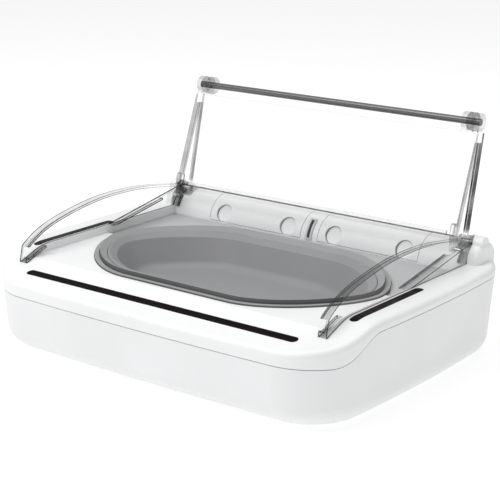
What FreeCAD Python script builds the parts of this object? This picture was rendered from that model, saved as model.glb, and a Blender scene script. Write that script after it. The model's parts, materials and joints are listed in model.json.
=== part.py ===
import FreeCAD, Part
import math
import os
from FreeCAD import Vector

# Automatic pet feeder: a low casing with a food bowl, under a clear two-panel lid that a motor folds open.
# Millimetres. +X is the feeder's right, +Y its back, +Z up. The origin is on the table under its middle.
# The model stands with its lid open. The lid's motion is planar, so its pivots are (Y, Z) points.

# ---- casing ----
WIDTH = 315.0
DEPTH = 238.0
FRONT_BOW = 4.0             # how far the front and back bulge beyond a straight wall
SIDE_BOW = 6.0
CORNER_R = 47.0
WALL_TAPER = 5.5            # the walls lean in by this much from deck height down to the base
TAPER_HEIGHT = 66.0
BASE_EDGE_R = 15.0
DECK_EDGE_R = 4.0
BASE_Z = 1.5                # underside of the casing, above the table by the feet
WALL = 2.5
SEAM_GAP = 0.5

# Profiles of the deck and of the seam: level at the back, an S-curve down, and a front slope.
S_FRONT_Y = -98.0
S_BACK_Y = -60.0
DECK_Z = 66.5
DECK_FRONT_Z = 56.0
DECK_FRONT_SLOPE = 0.2
SEAM_Z = 59.5
SEAM_FRONT_Z = 42.5

# ---- battery drum across the back of the deck ----
DRUM_YZ = (96.0, 58.5)
DRUM_R = 20.0
BARREL_X = 137.0
DOME_YZ = (90.5, 67.5)      # the small dome on each end of the drum, outside the shields
DOME_R = 13.9
DOME_X = 143.5
DOME_EDGE_R = 4.5

# ---- lid linkage, open ----
LID_PIVOT = (88.65, 79.5)
FOLD_PIVOT = (105.2, 161.0)
GUIDE_PIVOT = (74.7, 76.6)
LID_HALF_WIDTH = 126.5
SHEET_T = 2.5
REAR_SHEET = ((91.0, 80.4), (108.0, 153.0))
FRONT_SHEET = ((74.0, 85.5), (100.2, 154.5))
ROD_R = 2.5
KNUCKLE_R = 6.6
HINGE_PIN_R = 2.0
GUIDE_PIN_R = 1.2
RUNNING = 0.07              # radial clearance of a pin that turns in a bore

# ---- lid drive: a lever on the lid's shaft, a link, and a crank of equal length on the gearmotor ----
CRANK_R = 5.0
CRANK_REST_DEG = -117.0
LINK_LENGTH = 20.0
LINK_DEG = -83.0
LEVER_X = (136.2, 138.4)
LINK_X = (138.7, 140.7)

# ---- side shields ----
SHIELD_X = (132.0, 134.5)
LIP_X = 127.5
LIP_T = 1.6
SHIELD_TOP = ((-87.5, 70.0), (-69.0, 80.2), (-45.0, 86.4), (-20.0, 90.3), (5.0, 91.6), (30.0, 90.8),
              (56.0, 87.6), (80.0, 83.6))
SHIELD_TIP = (-90.0, 60.0)

# ---- sunk floor between the shields ----
FLOOR_HALF_X = 131.5
SUNK_Z = 61.2
MAT_FRONT_Y = -2.0
POCKET_Z = 58.5
MAT_TOP_Z = 60.1

# ---- bowl and its seat ring: ovals given as (half length, half width) ----
BOWL_Y = -8.0
RING_HALF = (119.8, 71.0)
RING_FOOT_W = 3.2           # low step round the ring's outside
RING_FOOT_Z = 62.4
RING_GROOVE_W = 0.9
RING_GROOVE_Z = 61.4
RING_TOP_Z = 65.3
RIM_HALF = (111.0, 61.5)
CREASE_Z = 62.3
RIM_Z = 63.0
RIM_BOTTOM_Z = 60.0
MOUTH_HALF = (104.5, 53.5)  # where the steep wall meets the flare up to the rim
MOUTH_Z = 59.8
FLARE_W = 4.8
BOWL_FLOOR_HALF = (92.0, 43.0)
BOWL_FLOOR_Z = 39.5
BOWL_FLOOR_R = 9.0
BOWL_T = 2.0
OVAL_STRAIGHT = 0.376       # part of an oval's half length that is straight, and its curves' handles
OVAL_SIDE_HANDLE = 0.513
OVAL_END_HANDLE = 0.338

# ---- sensor windows ----
WINDOW_W = 6.5
FRONT_WINDOW_HALF = 118.0
SIDE_WINDOW_X = 139.0
SIDE_WINDOW_Y = (-70.0, 11.0)

# ---- battery doors and cells ----
DOOR_X = (7.5, 95.5)
DOOR_TOP_DEG = 97.0
DOOR_BOTTOM_Z = 61.0
DOOR_GAP = 0.5
DIMPLE_X = (21.0, 82.5)
CELL_R = 13.1
CELL_LENGTH = 49.0
CELL_YZ = (96.5, 58.8)

# ---- rear buttons ----
BUTTON_X = (-16.0, 16.0)
BUTTON_Z = 33.0
BUTTON_R = 6.0
BUTTON_FACE_Y = 117.0

HALF_W = WIDTH / 2
HALF_D = DEPTH / 2
FAR = 400.0


# ---------------------------------------------------------------- geometry helpers

def box(x, y, z):
    """Box from three (low, high) pairs."""
    return Part.makeBox(x[1] - x[0], y[1] - y[0], z[1] - z[0], Vector(x[0], y[0], z[0]))


def rod_x(yz, radius, x):
    """Cylinder along X about a (Y, Z) point, between two X values."""
    return Part.makeCylinder(radius, x[1] - x[0], Vector(x[0], yz[0], yz[1]), Vector(1, 0, 0))


def rod_z(xy, radius, z):
    return Part.makeCylinder(radius, z[1] - z[0], Vector(xy[0], xy[1], z[0]), Vector(0, 0, 1))


def rod_y(xz, radius, y):
    return Part.makeCylinder(radius, y[1] - y[0], Vector(xz[0], y[0], xz[1]), Vector(0, 1, 0))


def fuse(shapes):
    return shapes[0].multiFuse(shapes[1:]).removeSplitter()


def mirrored(shape):
    return shape.mirror(Vector(0, 0, 0), Vector(1, 0, 0))


def polar(origin, radius, degrees):
    """Point in the (Y, Z) plane at an angle measured from +Y towards +Z."""
    angle = math.radians(degrees)
    return (origin[0] + radius * math.cos(angle), origin[1] + radius * math.sin(angle))


def prism_x(edges, x):
    """Solid from a closed chain of edges drawn in the plane X = 0, between two X values."""
    face = Part.Face(Part.Wire(edges))
    face.translate(Vector(x[0], 0, 0))
    return face.extrude(Vector(x[1] - x[0], 0, 0))


def polygon_x(points, x):
    corners = [Vector(0, y, z) for y, z in points]
    return prism_x(Part.makePolygon(corners + corners[:1]).Edges, x)


def bar_x(start, end, thickness, x):
    """Flat bar centred on the line between two (Y, Z) points."""
    length = math.dist(start, end)
    ny = -(end[1] - start[1]) / length * thickness / 2
    nz = (end[0] - start[0]) / length * thickness / 2
    corners = [(start[0] + ny, start[1] + nz), (end[0] + ny, end[1] + nz),
               (end[0] - ny, end[1] - nz), (start[0] - ny, start[1] - nz)]
    return polygon_x(corners, x)


def lever_x(start, end, radii, x):
    """Tapered lever with a round end of its own radius about each (Y, Z) point."""
    length = math.dist(start, end)
    ny = -(end[1] - start[1]) / length
    nz = (end[0] - start[0]) / length
    corners = []
    for side, ends in ((1, (0, 1)), (-1, (1, 0))):
        for index in ends:
            centre = (start, end)[index]
            corners.append((centre[0] + side * ny * radii[index], centre[1] + side * nz * radii[index]))
    return fuse([polygon_x(corners, x), rod_x(start, radii[0], x), rod_x(end, radii[1], x)])


def s_profile(front_z, back_z, slope, shift):
    """Edges of an S-shaped (Y, Z) profile that runs from far in front to far behind."""
    handle = (S_BACK_Y - S_FRONT_Y) * 0.4
    start = Vector(0, -FAR, front_z + shift + (-FAR - S_FRONT_Y) * slope)
    knee = Vector(0, S_FRONT_Y, front_z + shift)
    shoulder = Vector(0, S_BACK_Y, back_z + shift)
    curve = Part.BezierCurve()
    out_of_knee = knee + Vector(0, handle, handle * slope)
    curve.setPoles([knee, out_of_knee, shoulder - Vector(0, handle, 0), shoulder])
    end = Vector(0, FAR, back_z + shift)
    front = Part.LineSegment(start, knee).toShape()
    return [front, curve.toShape(), Part.LineSegment(shoulder, end).toShape()]


def below(profile):
    """Everything under a profile, as wide as the casing and more."""
    start = profile[0].Vertexes[0].Point
    end = profile[-1].Vertexes[-1].Point
    corners = [end, Vector(0, end.y, -FAR), Vector(0, start.y, -FAR), start]
    return prism_x(profile + Part.makePolygon(corners).Edges, (-FAR, FAR))


def below_deck(shift=0.0):
    return below(s_profile(DECK_FRONT_Z, DECK_Z, DECK_FRONT_SLOPE, shift))


def below_seam(shift=0.0):
    return below(s_profile(SEAM_FRONT_Z, SEAM_Z, 0.0, shift))


def four_arcs(corner_centre, corner_r, end_points, z):
    """Closed wire, symmetric about both axes, of two pairs of shallow arcs joined by corner arcs."""
    cx, cy = corner_centre
    (front_mid, front_end), (side_mid, side_end) = end_points
    bisector = math.hypot(front_end[0] - cx + side_end[0] - cx, front_end[1] - cy + side_end[1] - cy)
    mid = (cx + corner_r * (front_end[0] + side_end[0] - 2 * cx) / bisector,
           cy + corner_r * (front_end[1] + side_end[1] - 2 * cy) / bisector)

    def at(point, sx, sy):
        return Vector(point[0] * sx, point[1] * sy, z)

    edges = [Part.Arc(at(front_end, -1, -1), at(front_mid, 1, -1), at(front_end, 1, -1)).toShape()]
    edges.append(Part.Arc(at(front_end, 1, -1), at(mid, 1, -1), at(side_end, 1, -1)).toShape())
    edges.append(Part.Arc(at(side_end, 1, -1), at(side_mid, 1, 1), at(side_end, 1, 1)).toShape())
    edges.append(Part.Arc(at(side_end, 1, 1), at(mid, 1, 1), at(front_end, 1, 1)).toShape())
    edges.append(Part.Arc(at(front_end, 1, 1), at(front_mid, 1, 1), at(front_end, -1, 1)).toShape())
    edges.append(Part.Arc(at(front_end, -1, 1), at(mid, -1, 1), at(side_end, -1, 1)).toShape())
    edges.append(Part.Arc(at(side_end, -1, 1), at(side_mid, -1, 1), at(side_end, -1, -1)).toShape())
    edges.append(Part.Arc(at(side_end, -1, -1), at(mid, -1, -1), at(front_end, -1, -1)).toShape())
    return Part.Wire(edges)


def casing_outline(inset, z):
    """Plan of the casing: bowed sides tangent to round corners."""
    front_r = HALF_W ** 2 / (2 * FRONT_BOW)
    side_r = HALF_D ** 2 / (2 * SIDE_BOW)
    front_c = front_r - HALF_D
    side_c = side_r - HALF_W
    # The corner's centre is front_r - CORNER_R from (0, -front_c) and side_r - CORNER_R from (-side_c, 0).
    span = math.hypot(front_c, side_c)
    along = ((front_r - CORNER_R) ** 2 - (side_r - CORNER_R) ** 2 + span ** 2) / (2 * span)
    off = math.sqrt((front_r - CORNER_R) ** 2 - along ** 2)
    ux, uy = -side_c / span, front_c / span
    cx = along * ux + off * uy
    cy = -front_c + along * uy - off * ux
    front_end = tuple(c + CORNER_R * d / (front_r - CORNER_R) for c, d in ((cx, cx), (cy, cy + front_c)))
    side_end = tuple(c + CORNER_R * d / (side_r - CORNER_R) for c, d in ((cx, cx + side_c), (cy, cy)))
    shrink = (CORNER_R - inset) / CORNER_R
    front_end = (cx + (front_end[0] - cx) * shrink, cy + (front_end[1] - cy) * shrink)
    side_end = (cx + (side_end[0] - cx) * shrink, cy + (side_end[1] - cy) * shrink)
    ends = (((0, HALF_D - inset), front_end), ((HALF_W - inset, 0), side_end))
    return four_arcs((cx, cy), CORNER_R - inset, ends, z)


def oval_wire(half, inset, z):
    """Flat oval: straight along its middle, and curved smoothly round its ends."""
    a, b = half[0] - inset, half[1] - inset
    straight = a * OVAL_STRAIGHT
    side_handle = straight + (a - straight) * OVAL_SIDE_HANDLE
    end_handle = b * OVAL_END_HANDLE
    edges = []
    for sx, sy in ((1, -1), (1, 1), (-1, 1), (-1, -1)):
        poles = [Vector(sx * straight, sy * b, z), Vector(sx * side_handle, sy * b, z),
                 Vector(sx * a, sy * end_handle, z), Vector(sx * a, 0, z)]
        curve = Part.BezierCurve()
        curve.setPoles(poles if sx * sy < 0 else poles[::-1])
        edges.append(curve.toShape())
        if sx * sy > 0:
            far = Vector(-sx * straight, sy * b, z)
            edges.append(Part.LineSegment(poles[0], far).toShape())
    wire = Part.Wire(edges)
    wire.translate(Vector(0, BOWL_Y, 0))
    return wire


def oval(half, inset, z):
    """Upright oval solid between two heights."""
    return Part.Face(oval_wire(half, inset, z[0])).extrude(Vector(0, 0, z[1] - z[0]))


def flared_oval(low, high, z):
    """Solid between two ovals of different sizes at two heights."""
    return Part.makeLoft([oval_wire(low, 0.0, z[0]), oval_wire(high, 0.0, z[1])], True, True)


def stadium(start, end, width, z):
    """Upright slot-shaped solid about a line between two (X, Y) points."""
    ends = [rod_z(start, width / 2, z), rod_z(end, width / 2, z)]
    low = (min(start[0], end[0]), min(start[1], end[1]))
    high = (max(start[0], end[0]), max(start[1], end[1]))
    if low[0] == high[0]:
        middle = box((low[0] - width / 2, low[0] + width / 2), (low[1], high[1]), z)
    else:
        middle = box((low[0], high[0]), (low[1] - width / 2, low[1] + width / 2), z)
    return fuse([middle] + ends)


def casing_block(inset, base_z, edge_r):
    """Tapered block of the casing's plan, with a rounded base edge, taller than the whole casing."""
    top_z = TAPER_HEIGHT * 1.6
    lean = WALL_TAPER / TAPER_HEIGHT
    low = casing_outline(inset + WALL_TAPER - lean * base_z, base_z)
    high = casing_outline(inset + WALL_TAPER - lean * top_z, top_z)
    block = Part.makeLoft([low, high], True, True)
    base_edges = [edge for edge in block.Edges if edge.BoundBox.ZMax < base_z + 0.01]
    return block.makeFillet(edge_r, base_edges)


# ---------------------------------------------------------------- casing

SCREW_RIGHT_XY = ((128.0, -70.0), (129.0, 24.0), (128.0, 68.0))
SCREW_XY = [(side * x, y) for side in (-1, 1) for x, y in SCREW_RIGHT_XY]
SCREW_BITE = 12.0
SCREW_HEAD_T = 2.2
COUNTERBORE_DEPTH = 10.0
SCREW_POST_R = 4.2
SCREW_HOLE_R = 1.5
SCREW_HEAD_R = 3.0
FOOT_X = 108.0
FOOT_Y = 70.0
FOOT_XY = [(x, y) for x in (-FOOT_X, FOOT_X) for y in (-FOOT_Y, FOOT_Y)]
FOOT_R = 9.0
FOOT_TOP_Z = 2.6
POST_SPLIT_Z = 26.0
POST_GAP = 0.2
FLOOR_Z = BASE_Z + WALL
SWITCH_RIB_X = (25.0, 28.0)


def screw_post(xy, top_z):
    """Where the two casings meet on a screw, the upper half of the post."""
    post = rod_z(xy, SCREW_POST_R, (POST_SPLIT_Z + POST_GAP, top_z))
    return post.cut(rod_z(xy, SCREW_HOLE_R, (0, POST_SPLIT_Z + SCREW_BITE + 2.0)))


def casing_inside():
    """The casing's inner space, for what stands on its floor near the rounded edge."""
    return casing_block(WALL + 0.05, FLOOR_Z, BASE_EDGE_R - WALL)


def rear_wall_y(z):
    return HALF_D - WALL_TAPER + WALL_TAPER * z / TAPER_HEIGHT


def lower_casing():
    outer = casing_block(0.0, BASE_Z, BASE_EDGE_R)
    inner = casing_block(WALL, FLOOR_Z, BASE_EDGE_R - WALL)
    shell = outer.cut(inner).common(below_seam())
    posts = []
    for xy in SCREW_XY:
        posts.append(rod_z(xy, SCREW_POST_R, (FLOOR_Z - 1.0, POST_SPLIT_Z)))
    for side in (-1, 1):
        x = sorted(side * value for value in SWITCH_RIB_X)
        rib = box(x, (button_board_y(), HALF_D), (FLOOR_Z - 1.0, BUTTON_Z + 7.0))
        posts.append(rib.common(casing_block(WALL - 1.0, FLOOR_Z - 1.0, BASE_EDGE_R - WALL)))
    shell = fuse([shell] + posts)
    cuts = []
    for xy in SCREW_XY:
        cuts.append(rod_z(xy, SCREW_HOLE_R + 0.2, (0, FAR)))
        cuts.append(rod_z(xy, SCREW_HEAD_R + 0.3, (0, FLOOR_Z + COUNTERBORE_DEPTH)))
    for xy in FOOT_XY:
        cuts.append(rod_z(xy, FOOT_R + 0.1, (0, FOOT_TOP_Z)))
    for x in BUTTON_X:
        cuts.append(rod_y((x, BUTTON_Z), BUTTON_R + 0.4, (HALF_D - 30.0, HALF_D + 10.0)))
    cuts.append(rod_y((0.0, BUTTON_Z), LIGHT_R, (HALF_D - 30.0, HALF_D + 10.0)))
    return shell.cut(cuts[0].multiFuse(cuts[1:]))


def barrel(inset):
    """The battery drum without its domes, shrunk by an inset."""
    return rod_x(DRUM_YZ, DRUM_R - inset, (inset - BARREL_X, BARREL_X - inset))


def drum(inset):
    """The battery drum and the two domes on its ends, shrunk by an inset."""
    ends = []
    for side in (1, -1):
        dome = rod_x(DOME_YZ, DOME_R - inset, (SHIELD_X[1] + 0.7 + inset, DOME_X - inset))
        rim = [edge for edge in dome.Edges if edge.BoundBox.XMin > DOME_X - inset - 0.01]
        dome = dome.makeFillet(DOME_EDGE_R - inset, rim)
        ends.append(dome if side > 0 else mirrored(dome))
    return barrel(inset).multiFuse(ends)


def deck_edges(shape):
    """The outer edges of the deck, where it turns down into the walls."""
    picked = []
    for edge in shape.Edges:
        bound = edge.BoundBox
        along_x = bound.YLength < 0.01 and bound.XLength > HALF_W
        upright = bound.ZLength > 4.0 and bound.ZLength > 0.8 * math.hypot(bound.XLength, bound.YLength)
        middle = edge.valueAt((edge.FirstParameter + edge.LastParameter) / 2)
        seam_z = SEAM_Z if middle.y > S_BACK_Y + 1 else SEAM_FRONT_Z + (SEAM_Z - SEAM_FRONT_Z) * max(
            0.0, (middle.y - S_FRONT_Y) / (S_BACK_Y - S_FRONT_Y))
        if not along_x and not upright and middle.z > seam_z + 4.0:
            picked.append(edge)
    return picked


DIMPLE_R = 7.2
DIMPLE_DEG = 28.0
DIMPLE_DEPTH = 2.0
DIMPLE_WALL = 1.5


def door_mouth(gap):
    """The space of one battery door, on the right: flat below, and cut at 45 degrees at its top."""
    top = polar(DRUM_YZ, DRUM_R, 180.0 - DOOR_TOP_DEG)
    reach = 12.0
    low_z = DOOR_BOTTOM_Z + gap
    top_y = top[0] - gap * math.sqrt(2)
    corners = [(DRUM_YZ[0] - 30.0, low_z), (DRUM_YZ[0] - 12.0, low_z), (top_y + reach, top[1] - reach),
               (top_y - reach, top[1] + reach), (DRUM_YZ[0] - 30.0, top[1] + reach)]
    return polygon_x(corners, (DOOR_X[0] + gap, DOOR_X[1] - gap))


def dimples(grow):
    """Round thumb dimples in the drum's front, or with a growth the pads that back them."""
    tools = []
    for x in DIMPLE_X:
        centre = polar(DRUM_YZ, DRUM_R - DIMPLE_DEPTH - grow, 180.0 - DIMPLE_DEG)
        axis = Vector(0, centre[0] - DRUM_YZ[0], centre[1] - DRUM_YZ[1])
        tools.append(Part.makeCylinder(DIMPLE_R + grow, DRUM_R, Vector(x, centre[0], centre[1]), axis))
    return tools


CATCH_X = 2.8


def upper_casing():
    skin = casing_block(0.0, BASE_Z, BASE_EDGE_R)
    body = skin.common(below_deck()).cut(below_seam(SEAM_GAP))
    body = body.makeFillet(DECK_EDGE_R, deck_edges(body))
    body = body.fuse(drum(0.0).common(casing_block(1.0, BASE_Z, BASE_EDGE_R)).cut(below_deck(-WALL)))
    hollow = casing_block(WALL, BASE_Z, BASE_EDGE_R).common(below_deck(-WALL))
    hollow = hollow.fuse(drum(WALL).common(casing_block(WALL + 1.0, BASE_Z, BASE_EDGE_R)))
    shell = body.cut(hollow)

    behind = DRUM_YZ[0]
    sunk = box((-FLOOR_HALF_X, FLOOR_HALF_X), (-FAR, behind), (SUNK_Z, FAR)).cut(drum(0.0))
    pocket = box((-FLOOR_HALF_X, FLOOR_HALF_X), (MAT_FRONT_Y, behind), (POCKET_Z, FAR)).cut(drum(0.0))
    plate_x = (-FLOOR_HALF_X - WALL, FLOOR_HALF_X + WALL)
    plate = box(plate_x, (S_FRONT_Y, behind - DRUM_R + WALL), (SUNK_Z - WALL, DECK_Z))
    plate = plate.common(below_deck(-0.5))
    tray = box(plate_x, (MAT_FRONT_Y - WALL, behind - DRUM_R + WALL), (POCKET_Z - WALL, SUNK_Z))
    well_wall = oval(RING_HALF, -WALL - 0.4, (POCKET_Z - WALL, SUNK_Z))
    well_cup = bowl_block(-3.0 - BOWL_T, BOWL_FLOOR_Z - BOWL_T - 3.5)
    well_void = bowl_block(-3.0, BOWL_FLOOR_Z - BOWL_T - 1.5)
    pivot_housing = rod_x(LID_PIVOT, 9.0, (119.5, SHIELD_X[1] + 1.2))
    housings = [pivot_housing, mirrored(pivot_housing)]
    bump = rod_x(LID_PIVOT, LEVER_HUB_R + 2.0, (SHIELD_X[1] + 0.7, LINK_X[1] + 1.6))
    added = [shell, plate.cut(drum(WALL)), tray.cut(drum(WALL)), well_wall, well_cup]
    added += [housing.common(drum(0.0)) for housing in housings] + [bump, mirrored(bump)]
    added += [screw_post(xy, FAR).common(below_deck(-1.0)) for xy in SCREW_XY] + sensor_posts()
    shell = fuse(added)

    cuts = [sunk, pocket, oval(RING_HALF, -0.3, (POCKET_Z, FAR)), well_void]
    hub_recess = rod_x(LID_PIVOT, 7.0, (121.5, SHIELD_X[1] + 0.7))
    cuts += [hub_recess, mirrored(hub_recess)]
    cuts.append(rod_x(LID_PIVOT, HINGE_PIN_R + RUNNING, (SHIELD_X[1], LEVER_X[0])))
    cuts.append(rod_x(LID_PIVOT, HINGE_PIN_R + RUNNING, (-LEVER_X[1] - 0.3, -SHIELD_X[1])))
    cuts.append(rod_x(LID_PIVOT, LEVER_HUB_R + 1.0, (LEVER_X[0] - 0.3, LINK_X[1] + 0.6)))
    lever_sweep = rod_x(LID_PIVOT, CRANK_R + EYE_R + 0.4, (LEVER_X[0] - 0.3, LINK_X[1] + 0.6))
    cuts.append(lever_sweep.common(drum(0.5)))
    mouth = door_mouth(0.0)
    cuts += [mouth, mirrored(mouth)]
    cuts.append(window_block(front_window_line(), 0.1))
    cuts += [window_block(side_window_line(side), 0.1) for side in (-1, 1)]
    return shell.cut(cuts[0].multiFuse(cuts[1:]))


def window_block(line, gap):
    block = stadium(line[0], line[1], WINDOW_W + 2 * gap, (0, FAR))
    return block.common(below_deck(1.0)).cut(below_deck(-WALL - 1.0))


def front_window_line():
    end = FRONT_WINDOW_HALF - WINDOW_W / 2
    return (-end, S_FRONT_Y), (end, S_FRONT_Y)


def side_window_line(side):
    x = side * SIDE_WINDOW_X
    return (x, SIDE_WINDOW_Y[0] + WINDOW_W / 2), (x, SIDE_WINDOW_Y[1] - WINDOW_W / 2)


def sensor_window(line):
    """Dark filter strip, its face a hair below the deck."""
    return window_block(line, 0.0).common(below_deck(-0.1))


def rubber_feet():
    feet = []
    for xy in FOOT_XY:
        foot = rod_z(xy, FOOT_R, (0.0, FOOT_TOP_Z))
        rim = [edge for edge in foot.Edges if edge.BoundBox.ZMax < 0.01]
        feet.append(foot.makeFillet(0.8, rim))
    return feet


def casing_screws():
    screws = []
    for xy in SCREW_XY:
        head_z = FLOOR_Z + COUNTERBORE_DEPTH
        head = rod_z(xy, SCREW_HEAD_R, (head_z - SCREW_HEAD_T, head_z))
        screws.append(fuse([head, rod_z(xy, SCREW_HOLE_R - 0.05, (head_z, POST_SPLIT_Z + SCREW_BITE))]))
    return screws


# ---------------------------------------------------------------- bowl, ring and mat

def bowl_block(inset, floor_z):
    """The bowl's cavity as a solid, grown by a negative inset."""
    rise = (RIM_Z + 1.0 - floor_z) / (MOUTH_Z - floor_z)
    top_half = tuple(low - inset + (high - low) * rise for low, high in zip(BOWL_FLOOR_HALF, MOUTH_HALF))
    floor_half = tuple(low - inset for low in BOWL_FLOOR_HALF)
    block = flared_oval(floor_half, top_half, (floor_z, RIM_Z + 1.0))
    floor_edges = [edge for edge in block.Edges if edge.BoundBox.ZMax < floor_z + 0.01]
    return block.makeFillet(BOWL_FLOOR_R - inset, floor_edges)


RIM_EDGE_R = 0.8
RIM_LEDGE_W = 3.2


def food_bowl():
    rim = oval(RIM_HALF, 0.3, (RIM_BOTTOM_Z, RIM_Z))
    top_edges = [edge for edge in rim.Edges if edge.BoundBox.ZMin > RIM_Z - 0.01]
    rim = rim.makeFillet(RIM_EDGE_R, top_edges)
    above_rim = box((-FAR, FAR), (-FAR, FAR), (RIM_Z - RIM_EDGE_R, FAR))
    shell = bowl_block(-BOWL_T, BOWL_FLOOR_Z - BOWL_T).cut(above_rim)
    flare_half = (MOUTH_HALF[0] + FLARE_W, MOUTH_HALF[1] + FLARE_W + RIM_EDGE_R)
    flare = flared_oval(MOUTH_HALF, flare_half, (MOUTH_Z, RIM_Z))
    return rim.fuse(shell).cut(bowl_block(0.0, BOWL_FLOOR_Z)).cut(flare).removeSplitter()


def bowl_seat_ring():
    """Soft ring that the bowl's rim drops into: a low foot, a groove, and a lip that slopes in to the rim."""
    lip_inset = RING_FOOT_W + RING_GROOVE_W
    lip_half = tuple(value - lip_inset for value in RING_HALF)
    foot = oval(RING_HALF, 0.0, (POCKET_Z, RING_FOOT_Z))
    groove = oval(RING_HALF, RING_FOOT_W, (RING_GROOVE_Z, FAR)).cut(oval(RING_HALF, lip_inset, (0, FAR)))
    lip = oval(lip_half, 0.0, (POCKET_Z, RING_TOP_Z))
    slope = flared_oval(RIM_HALF, lip_half, (CREASE_Z, RING_TOP_Z))
    cap = flared_oval(lip_half, lip_half, (RING_TOP_Z, RING_TOP_Z + 1.0))
    body = foot.cut(groove).fuse(lip.cut(slope.fuse(cap)))
    seat = oval(RIM_HALF, 0.0, (RIM_BOTTOM_Z - 0.1, FAR))
    opening = oval(RIM_HALF, RIM_LEDGE_W, (0, FAR))
    return body.cut(seat.fuse(opening)).removeSplitter()


def rear_mat():
    """Soft mat on the pocket's floor behind and beside the bowl."""
    gap = 0.4
    slab = box((-FLOOR_HALF_X + gap, FLOOR_HALF_X - gap), (MAT_FRONT_Y + gap, DRUM_YZ[0] - DRUM_R + 2.0),
               (POCKET_Z, MAT_TOP_Z))
    slab = slab.cut(oval(RING_HALF, -2 * gap, (0, FAR)))
    slab = slab.cut(rod_x(DRUM_YZ, DRUM_R + gap, (-FAR, FAR)))
    return slab


# ---------------------------------------------------------------- side shields

def shield_slice(inset, x):
    """Slab of the shield's side view between two X values, thinned along its edges by an inset."""
    top = Part.BSplineCurve()
    top.interpolate([Vector(0, y, z) for y, z in SHIELD_TOP])
    end = SHIELD_TOP[-1]
    boss_side = polar(LID_PIVOT, 5.6, 60.0)
    corners = [Vector(0, end[0], end[1]), Vector(0, boss_side[0], boss_side[1]),
               Vector(0, boss_side[0], SEAM_Z), Vector(0, SHIELD_TIP[0], SHIELD_TIP[1] - 4.0),
               Vector(0, SHIELD_TIP[0], SHIELD_TIP[1]), Vector(0, SHIELD_TOP[0][0], SHIELD_TOP[0][1])]
    edges = [top.toShape()] + Part.makePolygon(corners).Edges
    slab = prism_x(edges, x).cut(below_deck(0.15 + inset))
    slab = slab.cut(rod_x(DRUM_YZ, DRUM_R + 0.3 + inset, (x[0] - 1.0, x[1] + 1.0)))
    for step in (Vector(0, 0, -inset), Vector(0, inset, 0), Vector(0, -inset, 0)) if inset else ():
        moved = prism_x(edges, x)
        moved.translate(step)
        slab = slab.common(moved)
    return slab


DIAGONAL = ((1.0, 66.4), (58.0, 76.4))


def side_shield():
    """Right side shield: an upright web with lips turned in along its edges, open at its front end."""
    boss = rod_x(LID_PIVOT, 5.6, SHIELD_X)
    web = fuse([shield_slice(0.0, SHIELD_X), boss])
    inner_space = shield_slice(LIP_T, (LIP_X - 1.0, SHIELD_X[0] + 1.0))
    lips = shield_slice(0.0, (LIP_X, SHIELD_X[0] + 0.5)).cut(inner_space)
    mouth = box((LIP_X - 1.0, SHIELD_X[0]), (-FAR, SHIELD_TOP[0][0] + 5.0), (62.0, 69.5))
    lips = lips.cut(mouth.fuse(rod_x(LID_PIVOT, 8.0, (LIP_X - 1.0, SHIELD_X[0]))))
    sunk_y = (S_BACK_Y - 10.0, DRUM_YZ[0] - DRUM_R)
    lips = lips.cut(box((LIP_X - 1.0, SHIELD_X[0]), sunk_y, (0.0, DECK_Z + 3.0)))
    diagonal = bar_x(DIAGONAL[0], DIAGONAL[1], LIP_T, (LIP_X, SHIELD_X[0] + 0.5)).cut(below_deck(0.15))
    rib_end = polar(LID_PIVOT, 5.6, 195.0)
    rib = bar_x(DIAGONAL[1], rib_end, LIP_T, (SHIELD_X[0] - 0.5, SHIELD_X[0] + 0.5))
    shield = fuse([web, lips, diagonal, rib])
    shield = shield.cut(rod_x(LID_PIVOT, HINGE_PIN_R + RUNNING, (0, FAR)))
    return max(shield.Solids, key=lambda solid: solid.Volume)


# ---------------------------------------------------------------- lid

KNUCKLES_FRONT = ((122.0, 126.0), (113.0, 117.1))
KNUCKLES_REAR = ((117.5, 121.6),)
FLANGE_DEPTH = 4.2
FLANGE_T = 1.8


def along(line, distance):
    """Point at a distance along a (Y, Z) line from its first point."""
    length = math.dist(*line)
    return tuple(a + (b - a) * distance / length for a, b in zip(*line))


def shifted(line, offset):
    """A (Y, Z) line moved to its left by an offset."""
    length = math.dist(*line)
    ny = -(line[1][1] - line[0][1]) / length * offset
    nz = (line[1][0] - line[0][0]) / length * offset
    return tuple((y + ny, z + nz) for y, z in line)


def lid_sheet(line, flange_side):
    """Clear sheet with a stiffening flange down each side edge."""
    sheet = bar_x(line[0], line[1], SHEET_T, (-LID_HALF_WIDTH, LID_HALF_WIDTH))
    spine = shifted(line, flange_side * FLANGE_DEPTH / 2)
    length = math.dist(*line)
    spine = (along(spine, 4.0), along(spine, length - 7.0))
    flange = bar_x(spine[0], spine[1], FLANGE_DEPTH, (LID_HALF_WIDTH - FLANGE_T, LID_HALF_WIDTH))
    return [sheet, flange, mirrored(flange)]


def knuckles(line, spans, bore_r):
    """Hinge barrels about the fold pivot, each on an arm from the sheet."""
    root = along(line, math.dist(*line) - 2.0)
    arm_end = along(line, math.dist(*line) + 6.0)
    shapes = []
    for span in spans:
        for x in (span, (-span[1], -span[0])):
            barrel = rod_x(FOLD_PIVOT, KNUCKLE_R, x).fuse(bar_x(root, arm_end, SHEET_T, x))
            shapes.append(barrel.cut(rod_x(FOLD_PIVOT, bore_r, (x[0] - 1, x[1] + 1))))
    return shapes


HUB_R = 4.6
HUB_X = (122.5, 131.4)


def rear_lid_panel():
    hub = rod_x(LID_PIVOT, HUB_R, HUB_X)
    shapes = lid_sheet(REAR_SHEET, 1.0) + [hub, mirrored(hub)] + knuckles(REAR_SHEET, KNUCKLES_REAR, ROD_R)
    panel = fuse(shapes)
    pin = rod_x(LID_PIVOT, HINGE_PIN_R, (HUB_X[0] + 1.5, FAR))
    return panel.cut(pin.fuse(mirrored(pin)))


EAR_X = (123.0, 126.3)
EAR_R = 2.6


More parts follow.
